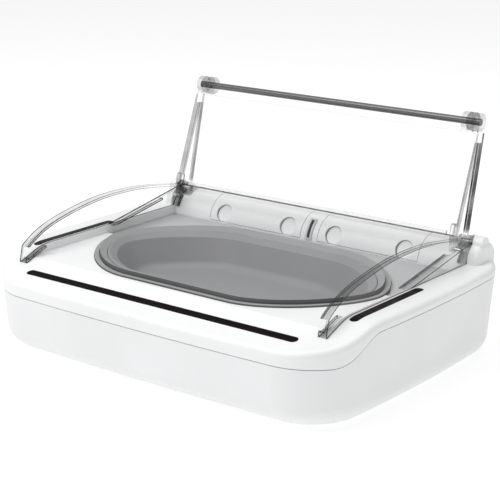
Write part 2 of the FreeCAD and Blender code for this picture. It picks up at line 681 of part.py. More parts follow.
def front_lid_panel():
    shapes = lid_sheet(FRONT_SHEET, -1.0) + knuckles(FRONT_SHEET, KNUCKLES_FRONT, ROD_R + RUNNING)
    ear_root = along(FRONT_SHEET, 6.0)
    ear = lever_x(ear_root, GUIDE_PIVOT, (3.5, EAR_R), EAR_X)
    shapes += [ear, mirrored(ear)]
    panel = fuse(shapes)
    pin = rod_x(GUIDE_PIVOT, GUIDE_PIN_R, (EAR_X[0] + 1.0, FAR))
    return panel.cut(pin.fuse(mirrored(pin)))


def fold_rod():
    end = KNUCKLES_FRONT[0][1] - 0.4
    return rod_x(FOLD_PIVOT, ROD_R, (-end, end))


def leading_edge_seal():
    """Soft strip along the inside of the front sheet's free edge."""
    line = shifted(FRONT_SHEET, -SHEET_T / 2 - 0.9)
    return bar_x(along(line, 0.2), along(line, 3.6), 1.8, (-FRONT_WINDOW_HALF, FRONT_WINDOW_HALF))


def guide_pins():
    """Pins that run under the shields' top lips and fold the lid as it opens."""
    pin = rod_x(GUIDE_PIVOT, GUIDE_PIN_R, (EAR_X[0] + 1.0, SHIELD_X[0] - 0.8))
    return [pin, mirrored(pin)]


def left_hinge_pin():
    return rod_x(LID_PIVOT, HINGE_PIN_R, (-LEVER_X[1], -HUB_X[0] - 1.5))


def lid_drive_shaft():
    return rod_x(LID_PIVOT, HINGE_PIN_R, (HUB_X[0] + 1.5, LEVER_X[1]))


# ---------------------------------------------------------------- lid drive

MOTOR_YZ = polar(LID_PIVOT, LINK_LENGTH, LINK_DEG)
LEVER_PIN_YZ = polar(LID_PIVOT, CRANK_R, CRANK_REST_DEG)
CRANK_PIN_YZ = polar(MOTOR_YZ, CRANK_R, CRANK_REST_DEG)
EYE_R = 2.0
LEVER_HUB_R = 3.4
LINK_PIN_R = 1.0
MOTOR_SHAFT_R = 1.5
MOTOR_R = 6.0
MOTOR_X = (108.8, 123.0)
GEARBOX_X = (123.0, 133.4)


def lid_lever():
    lever = lever_x(LID_PIVOT, LEVER_PIN_YZ, (LEVER_HUB_R, EYE_R), LEVER_X)
    lever = lever.cut(rod_x(LID_PIVOT, HINGE_PIN_R, (0, FAR)))
    return lever.fuse(rod_x(LEVER_PIN_YZ, LINK_PIN_R, (LEVER_X[1], LINK_X[1])))


def output_crank():
    crank = lever_x(MOTOR_YZ, CRANK_PIN_YZ, (3.4, EYE_R), LEVER_X)
    crank = crank.cut(rod_x(MOTOR_YZ, MOTOR_SHAFT_R, (0, FAR)))
    return crank.fuse(rod_x(CRANK_PIN_YZ, LINK_PIN_R, (LEVER_X[1], LINK_X[1])))


def motor_output_shaft():
    return rod_x(MOTOR_YZ, MOTOR_SHAFT_R, (GEARBOX_X[1] + 0.2, LEVER_X[1]))


def drive_link():
    link = lever_x(LEVER_PIN_YZ, CRANK_PIN_YZ, (EYE_R, EYE_R), LINK_X)
    for pin in (LEVER_PIN_YZ, CRANK_PIN_YZ):
        link = link.cut(rod_x(pin, LINK_PIN_R + RUNNING, (0, FAR)))
    return link


def drive_motor():
    can = rod_x(MOTOR_YZ, MOTOR_R - 0.4, MOTOR_X)
    cap = rod_x(MOTOR_YZ, 2.2, (MOTOR_X[0] - 1.2, MOTOR_X[0]))
    flat = box((MOTOR_X[0] - 2.0, MOTOR_X[1] - 2.0), (0, FAR), (MOTOR_YZ[1] + MOTOR_R - 1.4, FAR))
    return can.cut(flat).fuse(cap)


def drive_gearbox():
    body = rod_x(MOTOR_YZ, MOTOR_R, GEARBOX_X)
    seam_x = (GEARBOX_X[0] + 2.0, GEARBOX_X[0] + 2.6)
    groove = rod_x(MOTOR_YZ, MOTOR_R + 1.0, seam_x).cut(rod_x(MOTOR_YZ, MOTOR_R - 0.4, seam_x))
    bushing = rod_x(MOTOR_YZ, 2.6, (GEARBOX_X[1], GEARBOX_X[1] + 0.1))
    return body.cut(groove).fuse(bushing).cut(rod_x(MOTOR_YZ, MOTOR_SHAFT_R + 0.2, (GEARBOX_X[1] - 3.0, FAR)))


def motor_bracket():
    """Saddle on a leg that stands on the casing's floor and holds the gearbox from below."""
    x = (126.5, 132.5)
    saddle = rod_x(MOTOR_YZ, MOTOR_R + 2.0, x).cut(rod_x(MOTOR_YZ, MOTOR_R, (0, FAR)))
    saddle = saddle.common(box((0, FAR), (0, FAR), (0, MOTOR_YZ[1] + 1.0)))
    leg = box(x, (MOTOR_YZ[0] - 6.0, MOTOR_YZ[0] - 2.0), (FLOOR_Z, MOTOR_YZ[1] - MOTOR_R - 0.5))
    foot = box(x, (MOTOR_YZ[0] - 14.0, MOTOR_YZ[0] - 2.0), (FLOOR_Z, FLOOR_Z + 2.0))
    return fuse([saddle, leg, foot]).common(casing_inside())


# ---------------------------------------------------------------- batteries

def battery_door():
    """Curved cover on the front of the drum, right side, with two thumb dimples."""
    door = barrel(0.0).cut(barrel(2.0)).common(door_mouth(DOOR_GAP))
    door = max(door.Solids, key=lambda solid: solid.Volume)
    backing = barrel(2.0).cut(barrel(4.4)).common(door_mouth(DOOR_GAP))
    door = fuse([door] + [pad.common(backing) for pad in dimples(DIMPLE_WALL)])
    for tool in dimples(0.0):
        door = door.cut(tool)
    return max(door.Solids, key=lambda solid: solid.Volume)


def door_catch():
    """Spring clip between the doors, fixed to the drum's web."""
    arc = rod_x(DRUM_YZ, DRUM_R + 0.9, (-CATCH_X, CATCH_X)).cut(rod_x(DRUM_YZ, DRUM_R, (-FAR, FAR)))
    wedge = box((-FAR, FAR), (0, DRUM_YZ[0] - 9.0), (DOOR_BOTTOM_Z + 0.6, 76.0))
    return arc.common(wedge)


CELL_GAP = 1.0
CELL_X0 = 5.0


def cell_starts():
    return [CELL_X0 + index * (CELL_LENGTH + CELL_GAP) for index in range(2)]


def battery_cells():
    cells = []
    for x in cell_starts():
        can = rod_x(CELL_YZ, CELL_R, (x, x + CELL_LENGTH - 2.0))
        nub = rod_x(CELL_YZ, 3.3, (x + CELL_LENGTH - 2.0, x + CELL_LENGTH))
        cells += [can.fuse(nub), mirrored(can.fuse(nub))]
    return cells


LEG_X = (34.0, 86.0)
LEG_W = 18.0
LEG_T = 2.4


def battery_cradle():
    """Trough under the right pair of cells, with end plates and legs."""
    end_x = CELL_X0 + 2 * CELL_LENGTH + CELL_GAP + 1.6
    x = (CELL_X0 - 1.8, end_x + 1.4)
    trough = rod_x(CELL_YZ, CELL_R + 2.2, x).cut(rod_x(CELL_YZ, CELL_R + 0.5, (x[0] + 1.4, x[1] - 1.4)))
    trough = trough.common(box((-FAR, FAR), (-FAR, FAR), (0, CELL_YZ[1])))
    legs = []
    for leg_x in LEG_X:
        leg_y = (CELL_YZ[0] - LEG_W / 2, CELL_YZ[0] + LEG_W / 2)
        legs.append(box((leg_x, leg_x + LEG_T), leg_y, (FLOOR_Z, CELL_YZ[1] - CELL_R)))
    block = fuse([trough] + legs).common(casing_inside())
    return block.cut(rod_x(CELL_YZ, CELL_R + 0.5, (x[0] + 1.4, x[1] - 1.4)))


CONTACT_W = 8.0
CONTACT_T = 0.4
CONTACT_BOW = 1.5
CONTACT_Z = (-7.5, -1.0, 5.5)


def battery_contacts():
    """Folded leaf at the outer end of each pair of cells, and a flat plate at the inner end."""
    outer_x = CELL_X0 + 2 * CELL_LENGTH + CELL_GAP
    y = (CELL_YZ[0] - CONTACT_W / 2, CELL_YZ[0] + CONTACT_W / 2)
    low_z, mid_z, high_z = (CELL_YZ[1] + offset for offset in CONTACT_Z)
    back_x = outer_x + CONTACT_BOW
    corners = [(back_x, low_z), (outer_x + CONTACT_T, mid_z), (back_x, high_z - CONTACT_T), (back_x, high_z),
               (back_x - CONTACT_T, high_z), (outer_x, mid_z), (back_x - CONTACT_T, low_z), (back_x, low_z)]
    outline = Part.makePolygon([Vector(x, y[0], z) for x, z in corners])
    leaf = Part.Face(outline).extrude(Vector(0, CONTACT_W, 0))
    plate = box((CELL_X0 - CONTACT_T, CELL_X0), y, (low_z, high_z))
    return [leaf, mirrored(leaf), plate, mirrored(plate)]


# ---------------------------------------------------------------- electronics

BOARD_X = (-62.0, 62.0)
BOARD_Y = (-40.0, 20.0)
BOARD_Z = 12.0
BOARD_T = 1.6
SENSOR_BOARD_T = 1.2
LIGHT_R = 1.6
BOARD_HOLE_R = 1.6
BOARD_HOLE_INSET = 5.0
SPACER_R = 3.0


def board_corners():
    """The screw holes near the main board's corners."""
    x = (BOARD_X[0] + BOARD_HOLE_INSET, BOARD_X[1] - BOARD_HOLE_INSET)
    y = (BOARD_Y[0] + BOARD_HOLE_INSET, BOARD_Y[1] - BOARD_HOLE_INSET)
    return [(at_x, at_y) for at_x in x for at_y in y]


def main_board():
    board = box(BOARD_X, BOARD_Y, (BOARD_Z, BOARD_Z + BOARD_T))
    for spot in board_corners():
        board = board.cut(rod_z(spot, BOARD_HOLE_R, (0, FAR)))
    return board


def board_spacers():
    return [rod_z(spot, SPACER_R, (FLOOR_Z, BOARD_Z)) for spot in board_corners()]


# Corner (X, Y), width, depth and height of each block.
CONTROLLER = (-12.0, -22.0, 12.0, 12.0, 1.6)
DRIVER = (20.0, -18.0, 6.0, 8.0, 1.8)
SOCKETS = [(40.0, 4.0, 12.0, 6.0, 6.0), (-52.0, 4.0, 14.0, 6.0, 6.0), (-8.0, 10.0, 16.0, 5.0, 6.0)]
CAPACITOR_XY = ((34.0, -26.0), (44.0, -26.0))
CAPACITOR_R = 3.2
CAPACITOR_H = 9.0


def board_parts():
    """Controller, driver and connector blocks on the main board."""
    top = BOARD_Z + BOARD_T
    blocks = [CONTROLLER, DRIVER] + SOCKETS
    chips = [box((x, x + w), (y, y + d), (top, top + h)) for x, y, w, d, h in blocks]
    chips += [rod_z(spot, CAPACITOR_R, (top, top + CAPACITOR_H)) for spot in CAPACITOR_XY]
    return chips


SENSOR_DROP = 9.0
SENSOR_BOARD_HALF = 4.5
SENSOR_POST_R = 0.9
SENSOR_POST_X = (-72.0, -24.0, 24.0, 72.0)
SENSOR_POST_Y = (-30.0, -4.0)
DIODE_R = 1.5
DIODE_HEIGHT = 4.2
FRONT_DIODE_X = (-96.0, -48.0, 0.0, 48.0, 96.0)
SIDE_DIODE_Y = (-40.0, -16.0, 5.0)


def front_sensor_board():
    z = DECK_FRONT_Z - SENSOR_DROP
    y = (S_FRONT_Y - SENSOR_BOARD_HALF, S_FRONT_Y + SENSOR_BOARD_HALF)
    return box((-FRONT_WINDOW_HALF + 4.0, FRONT_WINDOW_HALF - 4.0), y, (z - SENSOR_BOARD_T, z))


def side_sensor_board():
    z = DECK_Z - SENSOR_DROP
    x = (SIDE_WINDOW_X - SENSOR_BOARD_HALF, SIDE_WINDOW_X + SENSOR_BOARD_HALF)
    return box(x, (SIDE_WINDOW_Y[0] + 14.0, SIDE_WINDOW_Y[1] - 2.0), (z - SENSOR_BOARD_T, z))


def sensor_posts():
    """Posts under the deck that the sensor boards are fixed to, beside the windows."""
    offset = SENSOR_BOARD_HALF - 1.0
    spots = []
    for side in (-offset, offset):
        spots += [(x, S_FRONT_Y + side, DECK_FRONT_Z) for x in SENSOR_POST_X]
        for x in (-SIDE_WINDOW_X, SIDE_WINDOW_X):
            spots += [(x + side, y, DECK_Z) for y in SENSOR_POST_Y]
    under_deck = below_deck(-1.0)
    return [rod_z((x, y), SENSOR_POST_R, (z - SENSOR_DROP, z)).common(under_deck) for x, y, z in spots]


def sensor_diodes():
    """Infrared emitters and receivers standing on the sensor boards, under the windows."""
    spots = [(x, S_FRONT_Y, DECK_FRONT_Z) for x in FRONT_DIODE_X]
    for x in (-SIDE_WINDOW_X, SIDE_WINDOW_X):
        spots += [(x, y, DECK_Z) for y in SIDE_DIODE_Y]
    diodes = []
    for x, y, deck_z in spots:
        board_top = deck_z - SENSOR_DROP
        diodes.append(rod_z((x, y), DIODE_R, (board_top, board_top + DIODE_HEIGHT)))
    return diodes


def push_button(x):
    """Round cap on a stem, with a collar inside the wall."""
    wall_inner = rear_wall_y(BUTTON_Z) - WALL
    cap = rod_y((x, BUTTON_Z), BUTTON_R, (wall_inner - 1.6, BUTTON_FACE_Y))
    face_edges = [edge for edge in cap.Edges if edge.BoundBox.YMin > BUTTON_FACE_Y - 0.01]
    cap = cap.makeFillet(0.8, face_edges)
    collar = rod_y((x, BUTTON_Z), BUTTON_R + 1.4, (wall_inner - 3.2, wall_inner - 1.2))
    stem = rod_y((x, BUTTON_Z), 2.0, (wall_inner - 5.0, wall_inner - 3.0))
    return fuse([cap, collar, stem])


BUTTON_TRAVEL = 1.5


def button_board_y():
    """Back face of the board that carries the two switches, in front of the buttons' stems."""
    return rear_wall_y(BUTTON_Z) - WALL - 5.0 - BUTTON_TRAVEL - 0.4 - 3.5


def button_board():
    y = button_board_y()
    return box((-30.0, 30.0), (y - BOARD_T, y), (FLOOR_Z + 8.0, BUTTON_Z + 9.0))


def tactile_switches():
    y = button_board_y()
    switches = []
    for x in BUTTON_X:
        case = box((x - 3.0, x + 3.0), (y, y + 3.0), (BUTTON_Z - 3.0, BUTTON_Z + 3.0))
        switches.append(case.fuse(rod_y((x, BUTTON_Z), 1.7, (y + 3.0, y + 3.5))))
    return switches


def status_light_pipe():
    wall_y = rear_wall_y(BUTTON_Z)
    pipe = rod_y((0.0, BUTTON_Z), LIGHT_R - 0.05, (wall_y - WALL - 7.0, wall_y - 0.1))
    flange = rod_y((0.0, BUTTON_Z), LIGHT_R + 1.0, (wall_y - WALL - 1.4, wall_y - WALL - 0.3))
    return pipe.fuse(flange)


# ---------------------------------------------------------------- output

def export(name, shapes):
    shapes = shapes if isinstance(shapes, list) else [shapes]
    solids = []
    for shape in shapes:
        solids += shape.Solids
    body = Part.makeCompound(solids) if len(solids) > 1 else solids[0]
    valid = all(solid.isValid() for solid in solids)
    print("%-22s solids %2d  valid %s  volume %9.0f" % (name, len(solids), valid, body.Volume))
    body.exportStep("parts/%s.step" % name)


def main():
    os.makedirs("parts", exist_ok=True)
    for old in os.listdir("parts"):
        os.remove(os.path.join("parts", old))
    export("lower_casing", lower_casing())
    export("upper_casing", upper_casing())
    export("front_sensor_window", sensor_window(front_window_line()))
    export("left_sensor_window", sensor_window(side_window_line(-1)))
    export("right_sensor_window", sensor_window(side_window_line(1)))
    export("rubber_feet", rubber_feet())
    export("casing_screws", casing_screws())
    export("food_bowl", food_bowl())
    export("bowl_seat_ring", bowl_seat_ring())
    export("rear_mat", rear_mat())
    shield = side_shield()
    export("right_side_shield", shield)
    export("left_side_shield", mirrored(shield))
    export("rear_lid_panel", rear_lid_panel())
    export("front_lid_panel", front_lid_panel())
    export("fold_rod", fold_rod())
    export("leading_edge_seal", leading_edge_seal())
    export("guide_pins", guide_pins())
    export("left_hinge_pin", left_hinge_pin())
    export("lid_drive_shaft", lid_drive_shaft())
    export("lid_lever", lid_lever())
    export("output_crank", output_crank())
    export("motor_output_shaft", motor_output_shaft())
    export("drive_link", drive_link())
    export("drive_motor", drive_motor())
    export("drive_gearbox", drive_gearbox())
    export("motor_bracket", motor_bracket())
    door = battery_door()
    export("right_battery_door", door)
    export("left_battery_door", mirrored(door))
    export("door_catch", door_catch())
    export("battery_cells", battery_cells())
    cradle = battery_cradle()
    export("right_battery_cradle", cradle)
    export("left_battery_cradle", mirrored(cradle))
    export("battery_contacts", battery_contacts())
    export("main_board", main_board())
    export("board_spacers", board_spacers())
    export("board_parts", board_parts())
    export("front_sensor_board", front_sensor_board())
    export("right_sensor_board", side_sensor_board())
    export("left_sensor_board", mirrored(side_sensor_board()))
    export("sensor_diodes", sensor_diodes())
    export("open_button", push_button(BUTTON_X[0]))
    export("training_button", push_button(BUTTON_X[1]))
    export("button_board", button_board())
    export("tactile_switches", tactile_switches())
    export("status_light_pipe", status_light_pipe())


main()
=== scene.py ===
import json
import math

import bmesh
import bpy
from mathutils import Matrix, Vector


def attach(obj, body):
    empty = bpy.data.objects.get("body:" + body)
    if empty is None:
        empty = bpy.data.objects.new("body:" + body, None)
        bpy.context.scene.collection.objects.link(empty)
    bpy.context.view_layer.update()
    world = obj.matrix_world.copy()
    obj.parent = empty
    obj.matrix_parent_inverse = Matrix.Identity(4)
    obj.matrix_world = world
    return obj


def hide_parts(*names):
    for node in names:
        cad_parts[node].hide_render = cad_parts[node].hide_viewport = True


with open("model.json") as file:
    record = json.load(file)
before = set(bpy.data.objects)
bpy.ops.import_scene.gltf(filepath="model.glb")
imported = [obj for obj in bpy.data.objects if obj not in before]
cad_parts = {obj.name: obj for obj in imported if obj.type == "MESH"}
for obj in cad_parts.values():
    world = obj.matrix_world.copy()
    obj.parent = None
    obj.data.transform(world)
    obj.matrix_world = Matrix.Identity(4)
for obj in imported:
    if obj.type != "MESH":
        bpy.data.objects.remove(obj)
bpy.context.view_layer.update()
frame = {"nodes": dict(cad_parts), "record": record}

nodes = frame["nodes"]
scene = bpy.context.scene
scene.view_settings.view_transform = "Standard"


# ---- camera and light ----

AZIMUTH, ELEVATION = math.radians(38.014), math.radians(16.173)
TARGET = Vector((0.00069, 0.00473, 0.0695))
DISTANCE = 1.0691
LENS_MM, SENSOR_MM = 108.535, 36.0
NEAR_CLIP, FAR_CLIP = 0.01, 50.0
WORLD_STRENGTH = 0.5

camera_data = bpy.data.cameras.new("camera")
camera_data.lens = LENS_MM
camera_data.sensor_width = SENSOR_MM
camera_data.clip_start, camera_data.clip_end = NEAR_CLIP, FAR_CLIP
camera = bpy.data.objects.new("camera", camera_data)
scene.collection.objects.link(camera)
scene.camera = camera
back = Vector((math.sin(AZIMUTH) * math.cos(ELEVATION), -math.cos(AZIMUTH) * math.cos(ELEVATION),
               math.sin(ELEVATION)))
camera.location = TARGET + back * DISTANCE
camera.rotation_euler = (-back).to_track_quat("-Z", "Y").to_euler()

world = bpy.data.worlds.new("studio")
scene.world = world
world.use_nodes = True
sky = world.node_tree.nodes["Background"]
sky.inputs["Color"].default_value = (1, 1, 1, 1)
sky.inputs["Strength"].default_value = WORLD_STRENGTH


def area_light(name, place, side, power):
    """Square light that looks at the object's middle."""
    data = bpy.data.lights.new(name, "AREA")
    data.shape = "RECTANGLE"
    data.size = data.size_y = side
    data.energy = power
    light = bpy.data.objects.new(name, data)
    scene.collection.objects.link(light)
    light.location = place
    direction = LIGHT_AIM - Vector(place)
    light.rotation_euler = direction.to_track_quat("-Z", "Y").to_euler()


LIGHT_AIM = Vector((0.0, 0.0, 0.05))
area_light("key", (-0.55, -0.75, 1.3), 0.9, 10.0)
area_light("top", (0.0, 0.1, 1.5), 1.2, 8.0)


# ---- materials ----

DRIFT_SCALE = 14.0
DRIFT_STOPS = (0.35, 0.65)
ROUGHNESS_SPREAD = 0.12
GRAIN_HEIGHT = 0.0002
FACING_BLEND = 0.05
CREASE_SHADE_SPAN = (0.5, 0.9)      # how open a crease is where its painted shade is darkest and where the painted shade ends


def new_material(name):
    material = bpy.data.materials.new(name)
    material.use_nodes = True
    return material, material.node_tree, material.node_tree.nodes["Principled BSDF"]


def grain(tree, scale, detail=3.0):
    """Noise over the object's own coordinates."""
    coords = tree.nodes.new("ShaderNodeTexCoord")
    noise = tree.nodes.new("ShaderNodeTexNoise")
    noise.inputs["Scale"].default_value = scale
    noise.inputs["Detail"].default_value = detail
    tree.links.new(coords.outputs["Object"], noise.inputs["Vector"])
    return noise.outputs["Fac"]


def ramp(tree, source, low, high):
    """Colour that goes from low to high as the source does."""
    node = tree.nodes.new("ShaderNodeValToRGB")
    for element, position, colour in zip(node.color_ramp.elements, DRIFT_STOPS, (low, high)):
        element.position = position
        element.color = (*colour, 1)
    tree.links.new(source, node.inputs["Fac"])
    return node.outputs["Color"]


def spread(tree, source, low, high, span=(0.0, 1.0)):
    """Maps a value from a span to the range low to high, held at both ends."""
    node = tree.nodes.new("ShaderNodeMapRange")
    node.inputs["From Min"].default_value, node.inputs["From Max"].default_value = span
    node.inputs["To Min"].default_value = low
    node.inputs["To Max"].default_value = high
    tree.links.new(source, node.inputs["Value"])
    return node.outputs["Result"]


def plug(tree, socket, value):
    """Gives a socket a number, or links it to another socket."""
    if isinstance(value, (int, float)):
        socket.default_value = value
    else:
        tree.links.new(value, socket)


def maths(tree, operation, first, second=0.0):
    """Scalar arithmetic between two sockets or numbers."""
    node = tree.nodes.new("ShaderNodeMath")
    node.operation = operation
    for socket, value in zip(node.inputs, (first, second)):
        plug(tree, socket, value)
    return node.outputs["Value"]


def dotted(tree, source, direction):
    """Scalar product of a vector socket with a fixed direction."""
    dot = tree.nodes.new("ShaderNodeVectorMath")
    dot.operation = "DOT_PRODUCT"
    dot.inputs[1].default_value = direction
    tree.links.new(source, dot.inputs[0])
    return dot.outputs["Value"]


def scaled(tree, colour, factor):
    """Colour times a factor, both from sockets."""
    level = tree.nodes.new("ShaderNodeVectorMath")
    level.operation = "SCALE"
    tree.links.new(colour, level.inputs[0])
    tree.links.new(factor, level.inputs["Scale"])
    return level.outputs["Vector"]


def facing(tree, direction, sharp=0.93):
    """1 on faces whose normal, in the piece's own frame, lies along a direction, and 0 on the others."""
    coords = tree.nodes.new("ShaderNodeTexCoord")
    size = maths(tree, "ABSOLUTE", dotted(tree, coords.outputs["Normal"], direction))
    return spread(tree, size, 0.0, 1.0, (sharp - FACING_BLEND, sharp))


def moulded(name, colour, roughness, grain_scale=2600.0, bump=0.04, variation=0.02, specular=0.5,
            upright_shade=1.0):
    """Moulded plastic or rubber: slight tone drift, fine grain in its bump and roughness.

    upright_shade scales the tone of the upright faces, a painted shade on their sides.
    """
    material, tree, shader = new_material(name)
    low = tuple(channel * (1 - variation) for channel in colour)
    high = tuple(channel * (1 + variation) for channel in colour)
    tone = ramp(tree, grain(tree, DRIFT_SCALE), low, high)
    # painted shade: upright faces are darker than the faces that look up
    if upright_shade < 1.0:
        tone = scaled(tree, tone, spread(tree, facing(tree, (0.0, 0.0, 1.0), 0.6), upright_shade, 1.0))
    tree.links.new(tone, shader.inputs["Base Color"])
    fine = grain(tree, grain_scale, 2.0)
    rough = (roughness * (1 - ROUGHNESS_SPREAD), roughness * (1 + ROUGHNESS_SPREAD))
    tree.links.new(spread(tree, fine, *rough), shader.inputs["Roughness"])
    bumps = tree.nodes.new("ShaderNodeBump")
    bumps.inputs["Strength"].default_value = bump
    bumps.inputs["Distance"].default_value = GRAIN_HEIGHT
    tree.links.new(fine, bumps.inputs["Height"])
    tree.links.new(bumps.outputs["Normal"], shader.inputs["Normal"])
    shader.inputs["Specular IOR Level"].default_value = specular
    return material


def crease_shaded(material, distance, depth):
    """Paints shade into the narrow creases of a material's own piece; depth is how much of the tone the
    painted shade takes away.
    """
    tree = material.node_tree
    shader = tree.nodes["Principled BSDF"]
    tone = shader.inputs["Base Color"].links[0].from_socket
    # painted shade: ambient occlusion darkens the base colour in the piece's own narrow creases
    crease_ao = tree.nodes.new("ShaderNodeAmbientOcclusion")
    crease_ao.only_local = True
    crease_ao.inputs["Distance"].default_value = distance
    unshaded_share = spread(tree, crease_ao.outputs["AO"], 1.0 - depth, 1.0, CREASE_SHADE_SPAN)
    tree.links.new(scaled(tree, tone, unshaded_share), shader.inputs["Base Color"])
    return material


def metal(name, colour, roughness):
    material = moulded(name, colour, roughness, 900.0, 0.05, 0.05)
    material.node_tree.nodes["Principled BSDF"].inputs["Metallic"].default_value = 1.0
    return material


def near_line(tree, start, end, half_width):
    """1 close to a line between two (Y, Z) points, as seen from the side, and 0 away from it."""
    length = math.dist(start, end)
    along = ((end[0] - start[0]) / length, (end[1] - start[1]) / length)
    coords = tree.nodes.new("ShaderNodeTexCoord")
    offset = tree.nodes.new("ShaderNodeVectorMath")
    offset.operation = "SUBTRACT"
    offset.inputs[1].default_value = (0.0, start[0], start[1])
    tree.links.new(coords.outputs["Object"], offset.inputs[0])
    forward = dotted(tree, offset.outputs["Vector"], (0.0, along[0], along[1]))
    aside = dotted(tree, offset.outputs["Vector"], (0.0, -along[1], along[0]))
    inside = maths(tree, "LESS_THAN", maths(tree, "ABSOLUTE", aside), half_width)
    past_middle = maths(tree, "ABSOLUTE", maths(tree, "SUBTRACT", forward, length / 2))
    return maths(tree, "MULTIPLY", inside, maths(tree, "LESS_THAN", past_middle, length / 2))


def blended(tree, share, first, second):
    """Float that goes from first to second as share goes from 0 to 1."""
    node = tree.nodes.new("ShaderNodeMix")
    node.data_type = "FLOAT"
    for place, value in zip((0, 2, 3), (share, first, second)):
        plug(tree, node.inputs[place], value)
    return node.outputs[0]


SHEET_TONE = 0.8
SHEET_ROUGHNESS = 0.12
SHEET_SPECULAR = 0.25
SPECK_SHADE_SCALE = 70.0
SPECK_SHADE_SPAN = (0.3, 0.7)
SPECK_SHADE_TONES = (0.4, 1.6)   # painted refraction specks: an edge's tone and density vary by these factors
SPECK_SHADE_DENSITIES = (0.8, 1.1)
MIDDLE_X = (-0.05, 0.05)    # edge density goes from the left's value to the right's between these
BETWEEN_RIMS = 0.3          # factors on an edge's density, so that the painted edge shade shows as two dark lines with a lighter band between
FAINT_END = 0.4
FAINT_LOW, FAINT_HIGH = 0.003, -0.002   # heights over which a faint end fades in
# painted sheen: how fast and how much a clear sheet's pale tone shows at glancing angles
GLANCE_BLEND = 0.12
GLANCE_SHARE = 0.25


def clear(name, broad, face=0.03, edges=(0.5, 0.5), edge_shade_tone=0.08, lines=(), rims=None, faint_ends=None):
    """Clear sheet whose broad faces almost vanish, and whose edges and lines are painted dark as a stand-in
    for the refraction shade of polished acrylic.

    broad is the direction that its broad faces look in, and face is how dense they are.
    edges is how dense its painted dark edges are on its left and on its right.
    rims are the distances from the middle plane inside and outside which an edge face is dense, giving two
    painted dark lines.
    faint_ends are the heights below and above which the hinge barrels stay light, with less painted edge
    shade.
    """
    material, tree, shader = new_material(name)
    flat = facing(tree, broad)
    # painted shade: along each listed line the broad face takes the dark edge tone
    for start, end, half_width in lines:
        flat = maths(tree, "SUBTRACT", flat, near_line(tree, start, end, half_width))
    flat = maths(tree, "MAXIMUM", flat, 0.0)
    # painted shade: edge faces take a dark base colour, mottled by painted refraction specks
    speck_shade = grain(tree, SPECK_SHADE_SCALE, 4.0)
    edge_tones = [edge_shade_tone * factor for factor in SPECK_SHADE_TONES]
    edge_shade_colour = spread(tree, speck_shade, *edge_tones, SPECK_SHADE_SPAN)
    tone = blended(tree, flat, edge_shade_colour, SHEET_TONE)
    grey = tree.nodes.new("ShaderNodeCombineColor")
    for channel in ("Red", "Green", "Blue"):
        tree.links.new(tone, grey.inputs[channel])
    tree.links.new(grey.outputs["Color"], shader.inputs["Base Color"])
    shader.inputs["Roughness"].default_value = SHEET_ROUGHNESS
    shader.inputs["Specular IOR Level"].default_value = SHEET_SPECULAR
    coords = tree.nodes.new("ShaderNodeTexCoord")
    place = tree.nodes.new("ShaderNodeSeparateXYZ")
    tree.links.new(coords.outputs["Object"], place.inputs["Vector"])
    factors = [spread(tree, speck_shade, *SPECK_SHADE_DENSITIES, SPECK_SHADE_SPAN)]
    if rims:
        aside = maths(tree, "ABSOLUTE", place.outputs["X"])
        inner, outer = maths(tree, "LESS_THAN", aside, rims[0]), maths(tree, "GREATER_THAN", aside, rims[1])
        factors.append(spread(tree, maths(tree, "ADD", inner, outer), BETWEEN_RIMS, 1.0))
    if faint_ends:
        low, high = faint_ends
        for span in ((low, low + FAINT_LOW), (high, high + FAINT_HIGH)):
            factors.append(spread(tree, place.outputs["Z"], FAINT_END, 1.0, span))
    dense = spread(tree, place.outputs["X"], *edges, MIDDLE_X)
    for factor in factors:
        dense = maths(tree, "MULTIPLY", dense, factor)
    # painted sheen: glancing faces show more of the pale sheet tone, a stand-in for reflection, on top of
    # the even haze of face
    glance = tree.nodes.new("ShaderNodeLayerWeight")
    glance.inputs["Blend"].default_value = GLANCE_BLEND
    haze_and_sheen = maths(tree, "ADD", maths(tree, "MULTIPLY", glance.outputs["Fresnel"], GLANCE_SHARE), face)
    share = maths(tree, "MINIMUM", blended(tree, flat, dense, haze_and_sheen), 1.0)
    see = tree.nodes.new("ShaderNodeBsdfTransparent")
    mix = tree.nodes.new("ShaderNodeMixShader")
    tree.links.new(share, mix.inputs["Fac"])
    tree.links.new(see.outputs["BSDF"], mix.inputs[1])
    tree.links.new(shader.outputs["BSDF"], mix.inputs[2])
    tree.links.new(mix.outputs["Shader"], tree.nodes["Material Output"].inputs["Surface"])
    return material


